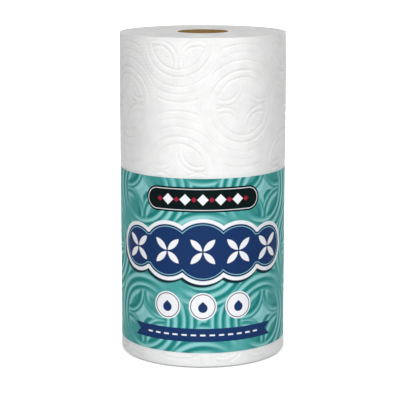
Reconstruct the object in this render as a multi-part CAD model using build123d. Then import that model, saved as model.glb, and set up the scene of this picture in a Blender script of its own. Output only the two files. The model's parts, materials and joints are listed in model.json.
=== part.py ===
"""A paper towel roll that stands on its end: a wound towel web on a cardboard core, in a printed sleeve.

The roll stands on the XY plane with its axis on +Z, and its printed front faces -Y.
All sizes are in millimetres and all angles in degrees.
"""

import os
from math import degrees

from build123d import *

# Towel web
WEB_WIDTH = 279.0  # the roll's height: a sheet 11 inches wide
ROLL_DIAMETER = 143.2  # across the turn below the last one
SHEET_THICKNESS = 0.5  # two embossed plies
FOOT_BEVEL = 2.0  # the lower outside edge, pressed in by the roll's own weight
TAIL_ANGLE = 124.0  # the web's free end, from +X: on the back, so that no perforation crosses the front

# Turns that show as lines on both ends
LINE_PITCH = 4.7  # radial step from one line to the next, a bundle of about ten turns
LINE_WIDTH = 1.0
LINE_DEPTH = 0.6
LINE_MARGIN = 2.0  # plain web left at the core and inside the last turn

# Cardboard core
CORE_BORE = 42.6
CORE_WALL = 0.8

# Printed sleeve
SLEEVE_BASE = 13.4  # its lower edge above the foot of the roll
SLEEVE_HEIGHT = 149.5
SLEEVE_THICKNESS = 0.25
SLEEVE_CLEARANCE = 0.15
SLEEVE_BITE = 0.3  # how far the tight sleeve presses the soft web in, so that it lies flush
SEAM_LAP = 12.0  # the glued lap along the back
SEAM_ANGLE = 90.0  # the middle of the lap, from +X

# Radii that follow from the sizes above
ROLL_RADIUS = ROLL_DIAMETER / 2
CORE_RADIUS = CORE_BORE / 2 + CORE_WALL
BAND_RADIUS = ROLL_RADIUS - SLEEVE_BITE
SLEEVE_RADIUS = BAND_RADIUS + SLEEVE_CLEARANCE

HALF_TURN = 180.0


def half_turn(section, radial_step):
    """A section on the XZ plane swung half a turn round Z, and the half turn that follows it.

    The second half has its centre half a step along X, so the two meet smoothly on -X, and on +X
    the second ends one radial step outside the start of the first.
    """
    first = revolve(section(0.0), Axis.Z, HALF_TURN)
    second = revolve(section(radial_step / 2), Axis.Z, HALF_TURN)
    return first, Pos(radial_step / 2, 0, 0) * Rot(0, 0, HALF_TURN) * second


def web_section(growth):
    """Half of the roll's upright section, with the bevel at its foot."""
    radius = ROLL_RADIUS + growth
    block = Pos(radius / 2, WEB_WIDTH / 2) * Rectangle(radius, WEB_WIDTH)
    foot = block.vertices().group_by(Axis.Y)[0].sort_by(Axis.X)[-1]
    return Plane.XZ * chamfer(foot, FOOT_BEVEL)


def line_section(radius, height):
    """The V of one turn line, drawn as a diamond across the plane of an end."""
    corners = [
        (radius - LINE_WIDTH / 2, height),
        (radius, height - LINE_DEPTH),
        (radius + LINE_WIDTH / 2, height),
        (radius, height + LINE_DEPTH),
    ]
    return Plane.XZ * Polygon(*corners, align=None)


def turn_line(height):
    """The spiral line of the turns on one end of the roll, from the core out, as half turns."""
    innermost = CORE_RADIUS + LINE_MARGIN
    outermost = ROLL_RADIUS - FOOT_BEVEL - LINE_MARGIN
    turns = int((outermost - innermost) / LINE_PITCH)
    pieces = []
    for turn in range(turns):
        start = innermost + turn * LINE_PITCH
        pieces += half_turn(lambda growth: line_section(start + growth, height), LINE_PITCH)
    return pieces


def sleeve_band():
    """The ring of web that is missing where the tight sleeve presses a shallow band into the roll."""
    ring = Circle(ROLL_RADIUS + 2 * SHEET_THICKNESS) - Circle(BAND_RADIUS)
    band = extrude(ring, SLEEVE_HEIGHT + 2 * SLEEVE_CLEARANCE)
    return Pos(0, 0, SLEEVE_BASE - SLEEVE_CLEARANCE) * band


def towel_roll():
    """The web wound on the core, with the step of its free end, the sleeve's band and the turn lines."""
    first, second = half_turn(web_section, SHEET_THICKNESS)
    body = first + second
    body -= Pos(0, 0, WEB_WIDTH / 2) * Cylinder(CORE_RADIUS, WEB_WIDTH)
    body -= turn_line(0.0) + turn_line(WEB_WIDTH)
    body -= sleeve_band()
    return Rot(0, 0, TAIL_ANGLE) * body


def core():
    """The cardboard tube, flush with both ends of the web."""
    ring = Circle(CORE_RADIUS) - Circle(CORE_BORE / 2)
    return extrude(ring, WEB_WIDTH)


def label_sleeve():
    """The printed sheet round the lower half of the roll, with its ends lapped and glued at the back."""
    outside = SLEEVE_RADIUS + SLEEVE_THICKNESS
    lap_sweep = degrees(SEAM_LAP / outside)
    lap_start = SEAM_ANGLE - lap_sweep / 2
    inner_edge = CenterArc((0, 0), outside, lap_start, lap_sweep)
    outer_edge = CenterArc((0, 0), outside + SLEEVE_THICKNESS, lap_start, lap_sweep)
    ends = [Line(inner_edge @ end, outer_edge @ end) for end in (0, 1)]
    lap = make_face([inner_edge, outer_edge, *ends])
    ring = Circle(outside) - Circle(SLEEVE_RADIUS)
    return Pos(0, 0, SLEEVE_BASE) * extrude(ring + lap, SLEEVE_HEIGHT)


def main():
    os.makedirs("parts", exist_ok=True)
    for build in (towel_roll, core, label_sleeve):
        export_step(build(), f"parts/{build.__name__}.step")


main()
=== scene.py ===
"""A paper towel roll dressed for its picture: embossed paper, a kraft core and a printed film sleeve.

Lengths are in metres and angles in radians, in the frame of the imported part: the roll stands on z = 0
with its axis on Z, and its printed front faces -Y. Names that end in _MM hold millimetres: patterns that
run round the wall are laid out in millimetres across the front from its middle and up from the foot.
"""

import json
from math import pi, radians, sqrt, tau

import bmesh
import bpy
import numpy as np
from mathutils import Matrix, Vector


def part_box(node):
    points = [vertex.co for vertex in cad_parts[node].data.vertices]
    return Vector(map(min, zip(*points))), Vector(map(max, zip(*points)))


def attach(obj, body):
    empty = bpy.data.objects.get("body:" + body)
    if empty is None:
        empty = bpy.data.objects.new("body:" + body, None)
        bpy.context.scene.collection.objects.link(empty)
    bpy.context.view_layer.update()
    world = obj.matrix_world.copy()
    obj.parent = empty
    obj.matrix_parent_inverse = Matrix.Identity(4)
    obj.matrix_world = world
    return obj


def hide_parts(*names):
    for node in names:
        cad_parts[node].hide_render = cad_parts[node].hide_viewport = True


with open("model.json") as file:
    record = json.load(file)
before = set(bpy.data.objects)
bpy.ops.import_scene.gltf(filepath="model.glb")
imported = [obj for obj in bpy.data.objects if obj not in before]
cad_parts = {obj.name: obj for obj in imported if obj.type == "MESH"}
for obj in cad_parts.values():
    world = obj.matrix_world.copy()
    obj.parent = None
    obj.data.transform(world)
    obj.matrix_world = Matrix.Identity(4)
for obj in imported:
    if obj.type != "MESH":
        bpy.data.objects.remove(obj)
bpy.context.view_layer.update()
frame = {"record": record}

MM = 0.001
WELD = 0.001 * MM  # points nearer than this become one
CREASE = radians(50.0)  # edges that turn more than this stay sharp

# Sizes of the roll, as the part has them
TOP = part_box("towel_roll")[1].z
SLEEVE_FOOT, SLEEVE_TOP = (corner.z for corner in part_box("label_sleeve"))
CORE_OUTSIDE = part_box("core")[1].x
CORE_INSIDE = frame["record"]["mounts"][0]["dims"]["r_mm"] * MM
TURN_RADIUS = 71.6 * MM  # outside of the turn below the last one
SHEET = 0.5 * MM
FILM = 0.25 * MM
SLEEVE_BITE = 0.3 * MM  # how far the tight sleeve presses the paper in
SLEEVE_CLEARANCE = 0.15 * MM
BAND_RADIUS = TURN_RADIUS - SLEEVE_BITE
SLEEVE_INSIDE = BAND_RADIUS + SLEEVE_CLEARANCE
WALL_MM = (TURN_RADIUS + SHEET / 2) / MM  # the radius at which patterns are laid out round the wall

# Directions round the axis, from +X
FRONT = radians(-90.0)
TAIL = radians(124.0)  # the free end of the web
SEAM = radians(90.0)  # the lap of the sleeve

# Web: its last turn, which ends at the tail, and the tear lines one sheet apart
LAST_TURN = radians(359.98)  # a hair less than a whole turn, so that its two ends stay apart
SHEET_LENGTH = 178.0 * MM
SHEET_TURN = SHEET_LENGTH / (TURN_RADIUS + SHEET)
SHEETS = 3  # in the last turn: two whole ones and part of a third
SHEET_GRID = 0.52 * MM
SLIT = 0.16 * MM  # half of the gap at a tear line
SLIT_PITCH = 6.0 * MM  # from one bond of a tear line to the next
BOND = 1.0 * MM
TAIL_LIFT = 0.9 * MM
TAIL_CURL = 9.0 * MM  # length of web that the lift reaches
TAIL_FREE = 60.0 * MM  # height above the sleeve at which the tail has its whole lift
FOOT_BEVEL = 2.0 * MM
FOOT_SOFT = 0.25 * MM  # how softly the bevel turns into the wall and the end
BULGE = 4.0 * MM  # height over which the paper swells again above and below the sleeve
HIDDEN_INSET = 1.0 * MM  # fine paper that goes on behind the edges of the sleeve
HIDDEN_ROWS = 5  # of plain paper from one inset to the other
TAPER = 0.4 * MM  # how much tighter the last turns are at the top
TAPER_HEIGHT = 45.0 * MM
TAPER_POWER = 6  # how fast the taper is lost towards the core
SLACK = 0.8 * MM  # loose room below the last turn, for its embossing
END = 3.0 * MM  # the tight margin of the web along both ends
WALL_ROWS = (SLEEVE_FOOT - BULGE, SLEEVE_FOOT, SLEEVE_TOP, SLEEVE_TOP + BULGE, TOP - END)

# Embossing: rings round the centres of a staggered lattice, with four leaves and a star in the smallest
RING_COLUMNS = 8  # round the roll
RING_PITCH_MM = tau * WALL_MM / RING_COLUMNS
RING_RISE_MM = 54.6
RING_ACROSS_MM = radians(-17.0) * WALL_MM  # a ring centre, across from the front
RING_UP_MM = 167.9
RINGS_MM = (24.0, 30.0, 38.0, 44.5, 51.0)
RING_SHARES = (1.0, 1.0, 0.55, 0.35, 0.65)  # of the full depth
WHOLE_RING_MM = 39.0
LEAF_MM = (17.0, 18.0)  # the middle of a leaf's arcs, across and up from its ring centre
LEAF_ARCS_MM = (17.4, 13.0)  # the double line of a leaf
LEAF_SHARES = (1.1, 0.9)
LINE_MM = 0.85  # half of a pressed line
LINE_DEPTH = 0.95 * MM
LINE_PULLED = 0.45  # share of that depth left where a line runs up the roll, across the pull of the winding
CREPE_MM = 2.3  # the finest of the small waves between the lines
CREPE_STEP_MM = 0.25  # from one of them to the next
CREPE_HEADINGS = np.radians((12.0, 55.0, 97.0, 141.0, 166.0))
CREPE_HEIGHT = 0.04 * MM
EDGE_RELIEF = 0.2  # share of the embossing left at the cut edges
EDGE_MARGIN = 9.0 * MM

# Turns on the ends: the spiral line that the part has, with softer ripples between
END_RINGS = 150
END_STEPS = 256
TURN_LINE_START = CORE_OUTSIDE + 2.0 * MM
TURN_LINE_PITCH = 4.7 * MM
TURN_LINES = 9
TURN_LINE_HALF_WIDTH = 0.5 * MM
TURN_LINE_DEPTH = 0.45 * MM
TURN_LINE_SPARE = 0.01  # share of a pitch by which the line may start early and end late
RIPPLE = 0.16 * MM
RIPPLE_STEPS = (0.31 * MM, 0.83 * MM)  # the radius that one radian of each wave takes
FLAT_AT_CORE = 0.6 * MM  # ring at the core over which lines and ripples rise
ROUND_AT_CORE = 2.0 * MM  # ring at the core over which the round turns become a spiral

# Core: its softened rims, and the lip of its spiral ply
CORE_STEPS = 128
RIM_ANGLE = radians(60.0)  # edges that turn more than this are rims
RIM_BEVEL = 0.2 * MM
PLY_PITCH = 90.0 * MM
PLY_STEPS = 64  # in one turn of the lip
PLY_LIP = 0.12 * MM
PLY_LIP_WIDTH = 1.4 * MM

# Sleeve: the lap at its back, where its end rises over its start
SLEEVE_ROWS = 30
SLEEVE_STEPS = 300
LAP = radians(9.5)
LAP_RISE = radians(40.0)
LAP_HEIGHT = 1.1 * FILM
LAP_EDGE_HALF_MM = 0.5  # the pale cut edge of the film

# Printed ground of the sleeve: rings, leaves and stars as soft pads between lines
GROUND_ACROSS_MM = RING_PITCH_MM  # a ring centre
GROUND_UP_MM = 41.0
GROUND_LEAF_MM = (20.0, 21.0)
GROUND_LEAF_ARCS_MM = (22.0, 17.5)
GROUND_PAD_MM = 4.5  # from a line to the flat of a pad
GROUND_SHADE_MM = 1.5  # how far the drawn shade falls, across and down
GROUND_RIM_MM = 1.5  # soft rim of the leaves and the star in their ring
GROUND_EDGE_MM = 1.0  # half of the soft edge between a leaf and the star

# Ornaments printed over the ground: places across and up, with half sizes
INK_EDGE_MM = 0.22
SOFT_EDGE_MM = 0.6
KEYLINE_INSET_MM = 1.8
PLAQUE_UP_MM = 145.2
PLAQUE_HALF_MM = (51.0, 10.6)
PLAQUE_KEYLINE_MM = 0.6
DIAMOND_PITCH_MM = 15.0
DIAMOND_REACH_MM = 40.0
WHITE_DIAMOND_HALF_MM = 3.4
RED_DIAMOND_HALF_MM = 1.7
CLOUD_UP_MM = 101.0
CLOUD_HALF_MM = (70.0, 14.0)
CLOUD_CORNER_MM = 6.0
CLOUD_LOBES_MM = ((0.0, 25.0), (31.0, 22.5), (62.0, 18.0))  # the place to both sides, and the radius
CLOUD_OUTLINE_MM = 3.2
CLOUD_KEYLINE_MM = 0.5
CLOUD_MARGIN_MM = 4.0
CLOUD_SHADOW_MM = (1.4, 2.4)
FLOWER_PITCH_MM = 31.0
PETAL_ARC_MM = 10.4
PETAL_ARC_PLACE_MM = 11.0
BADGES = 3
BADGE_PITCH_MM = 31.0
BADGE_UP_MM = 54.0
BADGE_RADIUS_MM = 10.0
BADGE_LINES_MM = (1.9, 0.7)  # the white rim and the dark line inside it
DROP_UP_MM = 52.6
DROP_RADIUS_MM = 4.0
RIBBON_UP_MM = 29.0
RIBBON_HALF_MM = (66.0, 5.8)
DASH_PITCH_MM = 8.0
DASH_REACH_MM = 52.0
DASH_HALF_MM = (2.3, 0.7)
DASH_CORNER_MM = 0.4

# Grain of the finishes: scales are in waves to the metre, and bumps are a height and a strength
PAPER_FIBRES = 1400.0
END_FIBRES = 900.0
BOARD_FIBRES = 900.0
CLOUDINESS_SCALE = 0.06  # of the slow cloudiness, as a share of the fibres' scale
PAPER_BUMP = (0.15 * MM, 0.6)
BOARD_BUMP = (0.1 * MM, 0.6)
BOARD_STRETCH = (1.0, 1.0, 0.35)  # long fibres up the core
TURN_GAP = 0.3  # share of a turn, to each side of its gap, that takes painted shade on the ends
END_CLOUDINESS = 0.2  # how much of the ends' shade is cloudy
END_FIBRE_SHARE = 0.8  # height of the fibres on the ends, next to that of a turn
FILM_WAVES = 60.0
FILM_BUMP = (0.4 * MM, 0.25)
FILM_STRETCH = (1.0, 1.0, 0.3)

# Stage: the light of the surround on the roll, the floor near it, where its shadow shows, and the camera
SKY_LEVEL = 0.335
FLOOR_REACH = 8.0
FLOOR_COLOUR = (0.9, 0.9, 0.9)
FLOOR_GLOW = 0.44
SHADOW_REACH_MM = 60.0
LENS_MM = 136.2
SENSOR_MM = 36.0
CAMERA_PLACE = (-2.4 * MM, -1302.5 * MM, 382.3 * MM)
CAMERA_TILT = radians(10.9)  # down from level
CAMERA_REACH = 50.0

# Colours, linear
PAPER = (0.87, 0.87, 0.865)
PAPER_SHADE = (0.83, 0.83, 0.825)
# paper of the cut ends, darkened as painted shade of the light lost between the turns
PAPER_EDGE = (0.74, 0.74, 0.735)
# painted shade in the fine gaps between the turns on the ends
PAPER_GAP_SHADE = (0.48, 0.48, 0.475)
KRAFT = (0.39, 0.248, 0.078)
KRAFT_DARK = (0.235, 0.138, 0.038)
TEAL = (0.065, 0.34, 0.33)
TEAL_DARK = (0.011, 0.20, 0.19)
TEAL_PALE = (0.31, 0.65, 0.66)
NAVY = (0.010, 0.035, 0.125)
NAVY_SHADE = (0.004, 0.022, 0.035)
INK = (0.001, 0.006, 0.006)
WHITE_INK = (0.84, 0.85, 0.88)
RED = (0.33, 0.015, 0.04)
WHITE = (1.0, 1.0, 1.0)


# Mesh helpers

def wrapped(outline, origin, span, steps, shape=None):
    """A bmesh of a closed outline of (radius, height) points along a strip wrapped round the axis.

    span is the first and last turn of the strip from the origin. shape, where it is given, takes arrays of
    turn, radius and height and returns the moved ones.
    """
    bm = bmesh.new()
    rows = len(outline)
    bmesh.ops.create_grid(bm, x_segments=steps, y_segments=rows, size=0.5)
    flat = np.array([vert.co[:2] for vert in bm.verts]) + 0.5
    turn = span[0] + flat[:, 0] * (span[1] - span[0])
    radius, height = np.array(outline)[np.rint(flat[:, 1] * rows).astype(int) % rows].T
    if shape:
        turn, radius, height = shape(turn, radius, height)
    angle = origin + turn
    places = np.stack((radius * np.cos(angle), radius * np.sin(angle), height), axis=1)
    for vert, place in zip(bm.verts, places):
        vert.co = place
    bmesh.ops.remove_doubles(bm, verts=bm.verts[:], dist=WELD)
    bmesh.ops.holes_fill(bm, edges=[edge for edge in bm.edges if edge.is_boundary], sides=0)
    bmesh.ops.recalc_face_normals(bm, faces=bm.faces[:])
    return bm


def mesh_object(name, bm, finish):
    """Makes an object of a bmesh, with one finish all over."""
    mesh = bpy.data.meshes.new(name)
    bm.to_mesh(mesh)
    bm.free()
    mesh.materials.append(finish)
    made = bpy.data.objects.new(name, mesh)
    bpy.context.scene.collection.objects.link(made)
    return made


def piece(name, bm, node, finish):
    """Makes a smooth piece with the finish it is given, which stands for a node of the part and hides it."""
    made = mesh_object(name, bm, finish)
    made.data.shade_smooth()
    made.data.set_sharp_from_angle(angle=CREASE)
    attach(made, "root")
    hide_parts(node)


def smooth_step(value, low, high):
    """A smooth share that is 0 at low and 1 at high."""
    share = np.clip((value - low) / (high - low), 0.0, 1.0)
    return share * share * (3 - 2 * share)


# Relief of the paper

def fold(value, half_period):
    """Folds a coordinate back and forth, so that one cell of a mirrored pattern stands for all of it."""
    return np.abs(np.mod(value + half_period, 2 * half_period) - half_period)


def pressed_lines(across, up):
    """Depth of the embossed lines at millimetres across the front and up from the foot.

    Each point is drawn from its nearest ring centre within the whole rings. Outside them, the rings above
    and below go on as arcs.
    """
    x = fold(across - RING_ACROSS_MM, RING_PITCH_MM)
    y = fold(up - RING_UP_MM, RING_RISE_MM)
    near = np.hypot(x, y)
    far = np.hypot(RING_PITCH_MM - x, RING_RISE_MM - y)
    whole = np.minimum(near, far) < WHOLE_RING_MM
    opposite = np.where(whole, far < near, x / RING_PITCH_MM > y / RING_RISE_MM)
    x = np.where(opposite, RING_PITCH_MM - x, x)
    y = np.where(opposite, RING_RISE_MM - y, y)
    inside = np.hypot(x, y) < RINGS_MM[0]
    depth = np.zeros_like(across)
    rings = ((0.0, 0.0), zip(RINGS_MM, RING_SHARES), True)
    leaves = (LEAF_MM, zip(LEAF_ARCS_MM, LEAF_SHARES), inside)
    for (centre_x, centre_y), arcs, drawn in (rings, leaves):
        out = np.hypot(x - centre_x, y - centre_y)
        level = ((y - centre_y) / np.maximum(out, LINE_MM)) ** 2
        kept = drawn * LINE_DEPTH * (LINE_PULLED + (1 - LINE_PULLED) * level)
        for arc, share in arcs:
            depth = np.maximum(depth, kept * share * np.exp(-(((out - arc) / LINE_MM) ** 2)))
    return depth


def crepe(across, up):
    """Small waves of the paper that run in several directions at once."""
    waves = np.zeros_like(across)
    for number, heading in enumerate(CREPE_HEADINGS):
        along = across * np.cos(heading) + up * np.sin(heading)
        waves += np.sin(tau * along / (CREPE_MM + CREPE_STEP_MM * number) + number)
    return CREPE_HEIGHT * waves


def relief(turn, height):
    """How far the outside of the last turn is pressed in: less along the cut edges of the web."""
    across = (turn + TAIL - FRONT) * WALL_MM
    up = height / MM
    from_edge = smooth_step(np.minimum(height, TOP - height), 0.0, EDGE_MARGIN)
    kept = EDGE_RELIEF + (1 - EDGE_RELIEF) * from_edge
    return kept * (pressed_lines(across, up) + crepe(across, up))


def tail_lift(turn, height):
    """How far the free end of the web stands off the roll above the sleeve."""
    free = smooth_step(height, SLEEVE_TOP, SLEEVE_TOP + TAIL_FREE)
    return TAIL_LIFT * np.exp((turn - LAST_TURN) * TURN_RADIUS / TAIL_CURL) * free


def foot_inset(height):
    """How far the bevelled foot draws the wall in at a height, or lifts the end at a depth."""
    return FOOT_SOFT * np.log1p(np.exp((FOOT_BEVEL - height) / FOOT_SOFT))


def held(radius, height, limit):
    """Radii of paper, held to a limit under the tight sleeve and free again above and below it."""
    above = smooth_step(height, SLEEVE_TOP, SLEEVE_TOP + BULGE)
    below = smooth_step(height, SLEEVE_FOOT, SLEEVE_FOOT - BULGE)
    tight = np.minimum(radius, limit)
    return tight + (radius - tight) * np.maximum(above, below)


def tapered(radius, height):
    """Radii of the roll, drawn in a little towards its top edge."""
    near_top = smooth_step(height, TOP - TAPER_HEIGHT, TOP)
    return radius - TAPER * near_top * (radius / TURN_RADIUS) ** TAPER_POWER


def loosened(radius, height):
    """Radii of the face between the last turn and those below it, which is loose apart from its ends."""
    slack = SLACK * smooth_step(np.minimum(height, TOP - height), 0.0, END)
    return held(radius - slack, height, BAND_RADIUS - SHEET)


# Pieces

def towel_sheet(number, first, last, finish):
    """One sheet of the web's last turn, closed and thin, between two tear lines or a tear line and an end."""

    def shape(turn, radius, height):
        slit = np.mod(height, SLIT_PITCH) > BOND
        opened = np.isclose(turn, first).astype(float) - np.isclose(turn, last)
        outside = radius > TURN_RADIUS - SHEET / 2 - foot_inset(height)
        wound = radius + SHEET * turn / tau + tail_lift(turn, height)
        embossed = held(wound - relief(turn, height), height, BAND_RADIUS)
        faces = np.where(outside, embossed, loosened(wound, height))
        return turn + opened * slit * SLIT / TURN_RADIUS, tapered(faces, height), height

    hidden = np.linspace(SLEEVE_FOOT + HIDDEN_INSET, SLEEVE_TOP - HIDDEN_INSET, HIDDEN_ROWS)
    foot = foot_inset(SHEET)
    below = np.linspace(foot, hidden[0], int((hidden[0] - foot) / SHEET_GRID))
    above = np.linspace(hidden[-1], TOP, int((TOP - hidden[-1]) / SHEET_GRID))
    heights = np.concatenate((below, hidden[1:-1], above))
    outline = [(TURN_RADIUS - foot_inset(height), height) for height in heights]
    outline += [(TURN_RADIUS - SHEET, height) for height in (TOP, *WALL_ROWS[::-1])]
    steps = int((last - first) * TURN_RADIUS / SHEET_GRID)
    bm = wrapped(outline, TAIL, (first, last), steps, shape)
    piece(f"towel_sheet_{number}", bm, "towel_roll", finish)


def last_turn(finish):
    """The sheets of the last turn, from the free end of the web inwards."""
    last = LAST_TURN
    for number in range(1, SHEETS + 1):
        first = max(0.0, last - SHEET_TURN)
        towel_sheet(number, first, last, finish)
        last = first


def turn_line(turn, radius):
    """Depth of the spiral line of the turns on an end."""
    lines_out = (radius - TURN_LINE_START) / TURN_LINE_PITCH - turn / tau
    to_line = np.abs(lines_out - np.rint(lines_out)) * TURN_LINE_PITCH
    drawn = (lines_out > -TURN_LINE_SPARE) & (lines_out < TURN_LINES - 1 + TURN_LINE_SPARE)
    return TURN_LINE_DEPTH * np.clip(1 - to_line / TURN_LINE_HALF_WIDTH, 0.0, 1.0) * drawn


def wound_turns(finish):
    """All the turns below the last one, whose cut edges show on both ends."""

    def shape(turn, radius, height):
        growth = SHEET * turn / tau
        short, long = (np.sin((radius - growth) / step) for step in RIPPLE_STEPS)
        ripple = RIPPLE * (2 - short - long) / 2
        from_core = radius - CORE_OUTSIDE
        inward = (turn_line(turn, radius) + ripple) * smooth_step(from_core, 0.0, FLAT_AT_CORE)
        grown = radius + growth * smooth_step(from_core, 0.0, ROUND_AT_CORE)
        ends = height + np.where(height > TOP / 2, -inward, inward)
        return turn, tapered(loosened(grown, height), height), ends

    rings = np.linspace(CORE_OUTSIDE, TURN_RADIUS - SHEET, END_RINGS)
    foot = zip(rings, foot_inset(TURN_RADIUS - rings))
    wall = ((rings[-1], height) for height in WALL_ROWS)
    outline = [*foot, *wall, *((ring, TOP) for ring in rings[::-1])]
    bm = wrapped(outline, TAIL, (0.0, LAST_TURN), END_STEPS, shape)
    piece("wound_turns", bm, "towel_roll", finish)


def add_ply_lip(bm):
    """Adds the raised lip of the core's spiral ply, as a strip spun up the inside of the tube."""
    turns = (TOP - 2 * PLY_LIP_WIDTH) / PLY_PITCH
    steps = int(PLY_STEPS * turns)
    inner = CORE_INSIDE - PLY_LIP
    outer = CORE_INSIDE + PLY_LIP
    corners = [(inner, 0.0), (outer, 0.0), (outer, PLY_LIP_WIDTH), (inner, PLY_LIP_WIDTH)]
    loop = [bm.verts.new((radius, 0.0, PLY_LIP_WIDTH / 2 + height)) for radius, height in corners]
    strip = bm.faces.new(loop)
    bmesh.ops.spin(
        bm, geom=[strip, *strip.edges, *strip.verts], cent=(0, 0, 0), axis=(0, 0, 1),
        dvec=(0, 0, turns * PLY_PITCH / steps), angle=turns * tau, steps=steps,
    )
    bmesh.ops.recalc_face_normals(bm, faces=bm.faces[:])


def core_tube(finish):
    """The cardboard tube, with softened rims and the raised lip of its spiral ply inside."""
    outline = [(CORE_INSIDE, 0.0), (CORE_OUTSIDE, 0.0), (CORE_OUTSIDE, TOP), (CORE_INSIDE, TOP)]
    bm = wrapped(outline, 0.0, (0.0, tau), CORE_STEPS)
    rims = [edge for edge in bm.edges if edge.calc_face_angle() > RIM_ANGLE]
    bmesh.ops.bevel(
        bm, geom=rims, offset=RIM_BEVEL, offset_type="OFFSET", affect="EDGES",
        segments=2, profile=0.5, material=-1,
    )
    add_ply_lip(bm)
    piece("core_tube", bm, "core", finish)


def sleeve(finish):
    """The film sleeve: one sheet right round the roll, its end lapped over its start along the back."""

    def shape(turn, radius, height):
        return turn, radius + LAP_HEIGHT * smooth_step(turn, tau - LAP_RISE, tau), height

    rows = np.linspace(SLEEVE_FOOT, SLEEVE_TOP, SLEEVE_ROWS)
    outside = [(SLEEVE_INSIDE + FILM, height) for height in rows]
    inside = [(SLEEVE_INSIDE, height) for height in rows[::-1]]
    bm = wrapped(outside + inside, SEAM - LAP / 2, (0.0, tau + LAP), SLEEVE_STEPS, shape)
    piece("printed_sleeve", bm, "label_sleeve", finish)


# Shader helpers

class Nodes:
    """Adds nodes to one node tree, feeding each input with a number, a colour or another node's output."""

    def __init__(self, tree):
        self.tree = tree

    def feed(self, socket, value):
        if isinstance(value, bpy.types.NodeSocket):
            self.tree.links.new(value, socket)
        elif socket.type == "RGBA":
            socket.default_value = (*value, 1.0)
        else:
            socket.default_value = value

    def add(self, kind, inputs=None, **settings):
        node = self.tree.nodes.new(kind)
        for name, value in settings.items():
            setattr(node, name, value)
        for name, value in (inputs or {}).items():
            self.feed(node.inputs[name], value)
        return node

    def math(self, operation, *values):
        node = self.add("ShaderNodeMath", operation=operation)
        for socket, value in zip(node.inputs, values):
            self.feed(socket, value)
        return node.outputs[0]

    def step(self, value, low, high):
        """A smooth mask that is 0 at low and 1 at high."""
        inputs = {"Value": value, "From Min": low, "From Max": high}
        return self.add("ShaderNodeMapRange", inputs, interpolation_type="SMOOTHSTEP").outputs["Result"]

    def mix(self, factor, first, second):
        node = self.add("ShaderNodeMix", data_type="RGBA")
        for index, value in ((0, factor), (6, first), (7, second)):
            self.feed(node.inputs[index], value)
        return node.outputs[2]

    def length(self, x, y):
        squares = (self.math("MULTIPLY", value, value) for value in (x, y))
        return self.math("SQRT", self.math("ADD", *squares))

    def noise(self, position, scale, detail=2.0, roughness=0.5):
        inputs = {"Vector": position, "Scale": scale, "Detail": detail, "Roughness": roughness}
        return self.add("ShaderNodeTexNoise", inputs).outputs["Fac"]

    def stretched(self, position, scale):
        return self.add("ShaderNodeMapping", {"Vector": position, "Scale": scale}).outputs[0]

    def bump(self, height, distance, strength):
        inputs = {"Height": height, "Distance": distance, "Strength": strength}
        return self.add("ShaderNodeBump", inputs).outputs["Normal"]

    def group(self, tree, **inputs):
        node = self.add("ShaderNodeGroup", node_tree=tree)
        for name, value in inputs.items():
            self.feed(node.inputs[name.replace("_", " ").title()], value)
        return node.outputs

    def position(self):
        return self.add("ShaderNodeTexCoord").outputs["Object"]

    def seen(self):
        """1 where the camera, gloss or glass looks, and 0 where only soft light falls."""
        ray = self.add("ShaderNodeLightPath").outputs
        mirrored = self.math("MAXIMUM", ray["Is Glossy Ray"], ray["Is Transmission Ray"])
        return self.math("MAXIMUM", ray["Is Camera Ray"], mirrored)


def node_group(name, inputs, outputs, fill):
    """A shader node group with float inputs and outputs, apart from Position, which is a vector."""
    tree = bpy.data.node_groups.new(name, "ShaderNodeTree")
    for socket in inputs:
        kind = "NodeSocketVector" if socket == "Position" else "NodeSocketFloat"
        tree.interface.new_socket(socket, in_out="INPUT", socket_type=kind)
    for socket in outputs:
        tree.interface.new_socket(socket, in_out="OUTPUT", socket_type="NodeSocketFloat")
    nodes = Nodes(tree)
    values = fill(nodes, nodes.add("NodeGroupInput").outputs)
    nodes.add("NodeGroupOutput", dict(zip(outputs, values)))
    return tree


def fill_wall_position(nodes, given):
    """Millimetres across the front from its middle, up from the foot, and out from the axis."""
    split = nodes.add("ShaderNodeSeparateXYZ", {"Vector": given["Position"]}).outputs
    angle = nodes.math("ARCTAN2", split["X"], nodes.math("MULTIPLY", split["Y"], -1.0))
    out = nodes.length(split["X"], split["Y"])
    across = nodes.math("MULTIPLY", angle, WALL_MM)
    return across, nodes.math("DIVIDE", split["Z"], MM), nodes.math("DIVIDE", out, MM)


def fill_panel(nodes, given):
    """Distance in millimetres from the edge of a tilted panel with round corners, negative inside it."""
    x = nodes.math("SUBTRACT", given["Across"], given["Centre Across"])
    y = nodes.math("SUBTRACT", given["Up"], given["Centre Up"])
    cosine = nodes.math("COSINE", given["Tilt"])
    sine = nodes.math("SINE", given["Tilt"])
    along = nodes.math("ADD", nodes.math("MULTIPLY", x, cosine), nodes.math("MULTIPLY", y, sine))
    aside = nodes.math("SUBTRACT", nodes.math("MULTIPLY", y, cosine), nodes.math("MULTIPLY", x, sine))
    past = []
    for value, half in ((along, given["Half Width"]), (aside, given["Half Height"])):
        room = nodes.math("SUBTRACT", half, given["Corner"])
        past.append(nodes.math("SUBTRACT", nodes.math("ABSOLUTE", value), room))
    beyond = [nodes.math("MAXIMUM", value, 0.0) for value in past]
    corner = nodes.length(*beyond)
    within = nodes.math("MINIMUM", nodes.math("MAXIMUM", *past), 0.0)
    return (nodes.math("SUBTRACT", nodes.math("ADD", corner, within), given["Corner"]),)


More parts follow.
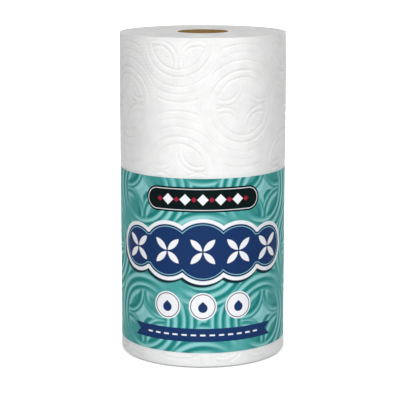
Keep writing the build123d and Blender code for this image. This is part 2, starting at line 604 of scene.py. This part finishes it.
def fill_ring_relief(nodes, given):
    """Rings, leaves and stars in print: soft pads between lines, with masks for the stars and the leaves."""
    cell = {"Across": RING_PITCH_MM, "Up": RING_RISE_MM}
    near = [nodes.math("PINGPONG", given[name], size) for name, size in cell.items()]
    far = [nodes.math("SUBTRACT", size, value) for size, value in zip(cell.values(), near)]
    opposite = nodes.math("LESS_THAN", nodes.length(*far), nodes.length(*near))
    x, y = (
        nodes.math("MULTIPLY_ADD", opposite, nodes.math("SUBTRACT", there, here), here)
        for here, there in zip(near, far)
    )
    from_centre = nodes.length(x, y)
    leaf_x, leaf_y = GROUND_LEAF_MM
    outer, inner = GROUND_LEAF_ARCS_MM
    from_leaf = nodes.length(nodes.math("SUBTRACT", x, leaf_x), nodes.math("SUBTRACT", y, leaf_y))
    beyond = nodes.math("SUBTRACT", from_centre, RINGS_MM[0])
    to_line = RING_PITCH_MM
    for ring in RINGS_MM:
        to_ring = nodes.math("ABSOLUTE", nodes.math("SUBTRACT", from_centre, ring))
        to_line = nodes.math("MINIMUM", to_line, to_ring)
    for arc in GROUND_LEAF_ARCS_MM:
        to_arc = nodes.math("ABSOLUTE", nodes.math("SUBTRACT", from_leaf, arc))
        to_line = nodes.math("MINIMUM", to_line, nodes.math("MAXIMUM", to_arc, beyond))
    inside = nodes.step(beyond, 0.0, -GROUND_RIM_MM)
    in_star = nodes.step(from_leaf, outer - GROUND_EDGE_MM, outer + GROUND_EDGE_MM)
    in_leaf = nodes.step(from_leaf, inner + GROUND_EDGE_MM, inner - GROUND_EDGE_MM)
    star = nodes.math("MULTIPLY", inside, in_star)
    leaf = nodes.math("MULTIPLY", inside, in_leaf)
    return nodes.step(to_line, 0.0, given["Softness"]), star, leaf


def fill_fibres(nodes, given):
    """Short soft fibres: a height for bump, and a slow cloudiness for colour."""
    fine = nodes.noise(given["Position"], given["Scale"], detail=4.0, roughness=0.65)
    cloud = nodes.noise(given["Position"], nodes.math("MULTIPLY", given["Scale"], CLOUDINESS_SCALE))
    return fine, cloud


WALL_POSITION = node_group("wall_position", ["Position"], ["Across", "Up", "Out"], fill_wall_position)
PANEL = node_group(
    "panel",
    ["Across", "Up", "Centre Across", "Centre Up", "Half Width", "Half Height", "Corner", "Tilt"],
    ["Distance"],
    fill_panel,
)
RING_RELIEF = node_group(
    "ring_relief", ["Across", "Up", "Softness"], ["Pad", "Star", "Leaf"], fill_ring_relief
)
FIBRES = node_group("fibres", ["Position", "Scale"], ["Height", "Cloud"], fill_fibres)


def material(name, constants):
    """A material with a Principled BSDF, whose named sockets are set to constants."""
    made = bpy.data.materials.new(name)
    made.use_nodes = True
    nodes = Nodes(made.node_tree)
    shader = made.node_tree.nodes["Principled BSDF"].inputs
    for socket, value in constants.items():
        nodes.feed(shader[socket], value)
    return nodes, shader, made


# Finishes

def towel_paper():
    """Soft white two-ply paper with short fibres."""
    nodes, shader, made = material("towel_paper", {"Roughness": 0.92, "Sheen Weight": 0.1})
    fibres = nodes.group(FIBRES, position=nodes.position(), scale=PAPER_FIBRES)
    cloud = nodes.step(fibres["Cloud"], 0.3, 0.7)
    nodes.feed(shader["Base Color"], nodes.mix(cloud, PAPER_SHADE, PAPER))
    nodes.feed(shader["Normal"], nodes.bump(fibres["Height"], *PAPER_BUMP))
    return made


def towel_ends():
    """The cut edges of the web: the same paper, darkened as painted shade, with painted shade in the fine gap
    of every turn.
    """
    nodes, shader, made = material("towel_ends", {"Roughness": 0.95})
    place = nodes.position()
    wall = nodes.group(WALL_POSITION, position=place)
    fibres = nodes.group(FIBRES, position=place, scale=END_FIBRES)
    turns = nodes.math("DIVIDE", wall["Out"], SHEET / MM)
    wound = nodes.math("SUBTRACT", turns, nodes.math("DIVIDE", wall["Across"], tau * WALL_MM))
    ply = nodes.step(nodes.math("PINGPONG", wound, 0.5), 0.0, TURN_GAP)
    cloud = nodes.step(fibres["Cloud"], 0.2, 0.7)
    clouded = nodes.math("MULTIPLY_ADD", cloud, END_CLOUDINESS, 1.0 - END_CLOUDINESS)
    shade = nodes.math("MULTIPLY", ply, clouded)
    # painted shade: the gaps between the turns take the darkest tone, and low cloudiness darkens the ends a
    # little at random
    nodes.feed(shader["Base Color"], nodes.mix(shade, PAPER_GAP_SHADE, PAPER_EDGE))
    height = nodes.math("ADD", ply, nodes.math("MULTIPLY", fibres["Height"], END_FIBRE_SHARE))
    nodes.feed(shader["Normal"], nodes.bump(height, *PAPER_BUMP))
    return made


def core_board():
    """Raw kraft board with long fibres."""
    nodes, shader, made = material("core_board", {"Roughness": 0.85})
    drawn_out = nodes.stretched(nodes.position(), BOARD_STRETCH)
    fibres = nodes.group(FIBRES, position=drawn_out, scale=BOARD_FIBRES)
    streak = nodes.step(fibres["Height"], 0.25, 0.75)
    shade = nodes.math("MULTIPLY", streak, nodes.step(fibres["Cloud"], 0.1, 0.7))
    nodes.feed(shader["Base Color"], nodes.mix(shade, KRAFT_DARK, KRAFT))
    nodes.feed(shader["Normal"], nodes.bump(fibres["Height"], *BOARD_BUMP))
    return made


class Print:
    """Inks printed one over another on the flat of the sleeve, in millimetres."""

    def __init__(self, nodes, across, up, ground):
        self.nodes = nodes
        self.across = across
        self.up = up
        self.colour = ground

    def panel(self, centre, half, corner=0.0, tilt=0.0, across=None, up=None):
        """Distance from the edge of a panel with its centre at (across, up)."""
        return self.nodes.group(
            PANEL, across=across or self.across, up=up or self.up,
            centre_across=centre[0], centre_up=centre[1],
            half_width=half[0], half_height=half[1], corner=corner, tilt=tilt,
        )["Distance"]

    def disc(self, centre, radius, across=None, up=None):
        return self.panel(centre, (radius, radius), radius, 0.0, across, up)

    def diamond(self, centre, half, across=None):
        return self.panel(centre, (half, half), 0.0, pi / 4, across)

    def row(self, pitch):
        """The place across, folded so that a shape repeats at each pitch to both sides of the middle."""
        return self.nodes.math("PINGPONG", self.across, pitch / 2)

    def past(self, reach):
        """Distance past a reach to both sides of the middle, negative within it."""
        return self.nodes.math("SUBTRACT", self.nodes.math("ABSOLUTE", self.across), reach)

    def ink(self, distance, printed, grow=0.0, within=None, edge=INK_EDGE_MM):
        """Prints a colour inside the edge of a shape, grown outwards, and within another if one is given."""
        reach = self.nodes.math("SUBTRACT", distance, grow)
        if within is not None:
            reach = self.nodes.math("MAXIMUM", reach, within)
        self.colour = self.nodes.mix(self.nodes.step(reach, edge, -edge), self.colour, printed)

    def keyline(self, distance, width, printed):
        """Prints a thin line inside the edge of a shape."""
        to_line = self.nodes.math("ABSOLUTE", self.nodes.math("ADD", distance, KEYLINE_INSET_MM))
        self.ink(to_line, printed, width / 2)


def sleeve_ground(nodes, across, up):
    """The printed ground: rings, leaves and stars in tones of teal, shaded as if lit from the upper left."""
    x = nodes.math("SUBTRACT", across, GROUND_ACROSS_MM)
    y = nodes.math("SUBTRACT", up, GROUND_UP_MM)
    pattern = nodes.group(RING_RELIEF, across=x, up=y, softness=GROUND_PAD_MM)
    lit_x = nodes.math("SUBTRACT", x, GROUND_SHADE_MM)
    lit_y = nodes.math("ADD", y, GROUND_SHADE_MM)
    towards_light = nodes.group(RING_RELIEF, across=lit_x, up=lit_y, softness=GROUND_PAD_MM)
    slope = nodes.math("SUBTRACT", pattern["Pad"], towards_light["Pad"])
    cloud = nodes.noise(nodes.position(), FILM_WAVES, detail=3.0)
    layers = (
        (nodes.step(cloud, 0.4, 0.75), 0.3, TEAL_PALE),
        (pattern["Leaf"], 0.4, TEAL_DARK),
        (pattern["Star"], 0.7, TEAL_PALE),
        (nodes.step(slope, 0.0, 0.5), 0.8, TEAL_PALE),
        (nodes.step(slope, 0.0, -0.5), 0.95, TEAL_DARK),
    )
    tone = TEAL
    for mask, share, colour in layers:
        tone = nodes.mix(nodes.math("MULTIPLY", mask, share), tone, colour)
    return tone


def print_plaque(sheet):
    """A dark plaque with round ends and a row of white and red diamonds, near the top of the sleeve."""
    plaque = sheet.panel((0.0, PLAQUE_UP_MM), PLAQUE_HALF_MM, PLAQUE_HALF_MM[1])
    sheet.ink(plaque, INK)
    sheet.keyline(plaque, PLAQUE_KEYLINE_MM, WHITE_INK)
    row = sheet.row(DIAMOND_PITCH_MM)
    within = sheet.past(DIAMOND_REACH_MM)
    sheet.ink(sheet.diamond((0.0, PLAQUE_UP_MM), WHITE_DIAMOND_HALF_MM, row), WHITE_INK, within=within)
    between = (DIAMOND_PITCH_MM / 2, PLAQUE_UP_MM)
    sheet.ink(sheet.diamond(between, RED_DIAMOND_HALF_MM, row), RED, within=within)


def cloud_edge(sheet, across, up):
    """Distance from the edge of the cloud, at a place across and up."""
    side = sheet.nodes.math("ABSOLUTE", across)
    edge = sheet.panel((0.0, CLOUD_UP_MM), CLOUD_HALF_MM, CLOUD_CORNER_MM, 0.0, side, up)
    for place, radius in CLOUD_LOBES_MM:
        edge = sheet.nodes.math("MINIMUM", edge, sheet.disc((place, CLOUD_UP_MM), radius, side, up))
    return edge


def print_cloud(sheet):
    """A navy cloud across the middle, with a white outline, a soft shadow and four-petalled flowers."""
    nodes = sheet.nodes
    shadow_across, shadow_up = (
        nodes.math("ADD", place, fall) for place, fall in zip((sheet.across, sheet.up), CLOUD_SHADOW_MM)
    )
    sheet.ink(cloud_edge(sheet, shadow_across, shadow_up), NAVY_SHADE, CLOUD_OUTLINE_MM, edge=SOFT_EDGE_MM)
    cloud = cloud_edge(sheet, sheet.across, sheet.up)
    sheet.ink(cloud, WHITE_INK, CLOUD_OUTLINE_MM)
    sheet.ink(cloud, NAVY)
    sheet.keyline(cloud, CLOUD_KEYLINE_MM, TEAL_PALE)
    row = sheet.row(FLOWER_PITCH_MM)
    aside = nodes.math("ABSOLUTE", nodes.math("SUBTRACT", sheet.up, CLOUD_UP_MM))
    places = ((0.0, PETAL_ARC_PLACE_MM), (PETAL_ARC_PLACE_MM, 0.0))
    petals = nodes.math("MAXIMUM", *(sheet.disc(place, PETAL_ARC_MM, row, aside) for place in places))
    sheet.ink(petals, WHITE_INK, within=nodes.math("ADD", cloud, CLOUD_MARGIN_MM))


def print_badges(sheet):
    """A row of round white badges below the cloud, each with a navy drop."""
    row = sheet.row(BADGE_PITCH_MM)
    within = sheet.past(BADGES * BADGE_PITCH_MM / 2)
    badge = sheet.disc((0.0, BADGE_UP_MM), BADGE_RADIUS_MM, row)
    rim, line = BADGE_LINES_MM
    for grow, printed in ((rim, WHITE_INK), (line, INK), (0.0, WHITE_INK)):
        sheet.ink(badge, printed, grow, within)
    bowl = sheet.disc((0.0, DROP_UP_MM), DROP_RADIUS_MM, row)
    tip = sheet.diamond((0.0, DROP_UP_MM + DROP_RADIUS_MM * sqrt(0.5)), DROP_RADIUS_MM / 2, row)
    sheet.ink(sheet.nodes.math("MINIMUM", bowl, tip), NAVY, within=within)


def print_ribbon(sheet):
    """A navy ribbon with forked ends and a row of dashes, along the foot of the sleeve."""
    nodes = sheet.nodes
    half_width, half_height = RIBBON_HALF_MM
    side = nodes.math("ABSOLUTE", sheet.across)
    band = sheet.panel((0.0, RIBBON_UP_MM), RIBBON_HALF_MM)
    fork = sheet.diamond((half_width, RIBBON_UP_MM), half_height * sqrt(0.5), side)
    sheet.ink(nodes.math("MAXIMUM", band, nodes.math("MULTIPLY", fork, -1.0)), NAVY)
    row = sheet.row(DASH_PITCH_MM)
    dash = sheet.panel((0.0, RIBBON_UP_MM), DASH_HALF_MM, DASH_CORNER_MM, 0.0, row)
    sheet.ink(dash, WHITE_INK, within=sheet.past(DASH_REACH_MM))


def print_lap_edge(sheet):
    """The pale cut edge of the film, along the lap at the back."""
    place = (SEAM + LAP / 2 - FRONT - tau) * WALL_MM + LAP_EDGE_HALF_MM
    edge = sheet.panel((place, SLEEVE_TOP / MM / 2), (LAP_EDGE_HALF_MM, SLEEVE_TOP / MM))
    sheet.ink(edge, TEAL_PALE)


def sleeve_print():
    """Film printed with a teal ground and a plaque, a cloud, badges and a ribbon on its front."""
    nodes, shader, made = material("sleeve_print", {"Roughness": 0.5, "Specular IOR Level": 0.04})
    wall = nodes.group(WALL_POSITION, position=nodes.position())
    across = wall["Across"]
    up = wall["Up"]
    sheet = Print(nodes, across, up, sleeve_ground(nodes, across, up))
    for layer in (print_plaque, print_cloud, print_badges, print_ribbon, print_lap_edge):
        layer(sheet)
    nodes.feed(shader["Base Color"], sheet.colour)
    ripple = nodes.noise(nodes.stretched(nodes.position(), FILM_STRETCH), FILM_WAVES)
    nodes.feed(shader["Normal"], nodes.bump(ripple, *FILM_BUMP))
    return made


# Stage

def white_floor():
    """A plain white floor, which the camera, gloss and glass see as white apart from the roll's shadow."""
    constants = {"Roughness": 1.0, "Base Color": FLOOR_COLOUR, "Emission Strength": 1.0}
    nodes, shader, finish = material("white_floor", constants)
    out = nodes.group(WALL_POSITION, position=nodes.position())["Out"]
    away = nodes.step(out, WALL_MM, WALL_MM + SHADOW_REACH_MM)
    glow = nodes.math("MULTIPLY_ADD", away, 1.0 - FLOOR_GLOW, FLOOR_GLOW)
    nodes.feed(shader["Emission Color"], nodes.math("MULTIPLY", nodes.seen(), glow))
    bm = bmesh.new()
    bmesh.ops.create_grid(bm, x_segments=1, y_segments=1, size=FLOOR_REACH)
    mesh_object("white_floor", bm, finish)


def surround():
    """An even white surround, which the camera, gloss and glass see as white."""
    world = bpy.data.worlds.new("soft_surround")
    world.use_nodes = True
    nodes = Nodes(world.node_tree)
    sky = world.node_tree.nodes["Background"].inputs
    nodes.feed(sky["Color"], WHITE)
    nodes.feed(sky["Strength"], nodes.math("MULTIPLY_ADD", nodes.seen(), 1.0 - SKY_LEVEL, SKY_LEVEL))
    bpy.context.scene.world = world


def softbox(name, place, aim, size, watts, spread=pi):
    """A soft lamp of a width and height, at a place, turned to an aim, with the spread of its beam."""
    lamp = bpy.data.lights.new(name, "AREA")
    lamp.shape = "RECTANGLE"
    lamp.size, lamp.size_y = size
    lamp.energy = watts
    lamp.spread = spread
    made = bpy.data.objects.new(name, lamp)
    made.location = place
    made.rotation_euler = (Vector(aim) - made.location).to_track_quat("-Z", "Y").to_euler()
    made.visible_camera = False
    bpy.context.scene.collection.objects.link(made)


def lamps():
    """A narrow beam close to the front, a wide softbox high up before the roll and a weaker one behind it."""
    softbox(
        "front_beam", place=(0.0, -0.27, 0.158), aim=(0.0, 0.0, 0.151), size=(0.105, 0.312), watts=0.04,
        spread=radians(20.0),
    )
    softbox("high_softbox", place=(0.0, -0.60, 1.65), aim=(0.0, 0.0, 0.14), size=(2.0, 0.7), watts=17.8)
    softbox("back_softbox", place=(0.5, 1.4, 0.45), aim=(0.0, 0.0, 0.14), size=(0.9, 0.9), watts=6.5)


def camera():
    """The photograph's view: from far off, a little above the top of the roll, tilted down."""
    lens = bpy.data.cameras.new("camera")
    lens.lens = LENS_MM
    lens.sensor_width = SENSOR_MM
    lens.clip_end = CAMERA_REACH
    view = bpy.data.objects.new("camera", lens)
    view.location = CAMERA_PLACE
    view.rotation_euler = (pi / 2 - CAMERA_TILT, 0.0, 0.0)
    bpy.context.scene.collection.objects.link(view)
    bpy.context.scene.camera = view


last_turn(towel_paper())
wound_turns(towel_ends())
core_tube(core_board())
sleeve(sleeve_print())
white_floor()
surround()
lamps()
camera()
bpy.context.scene.view_settings.view_transform = "Standard"
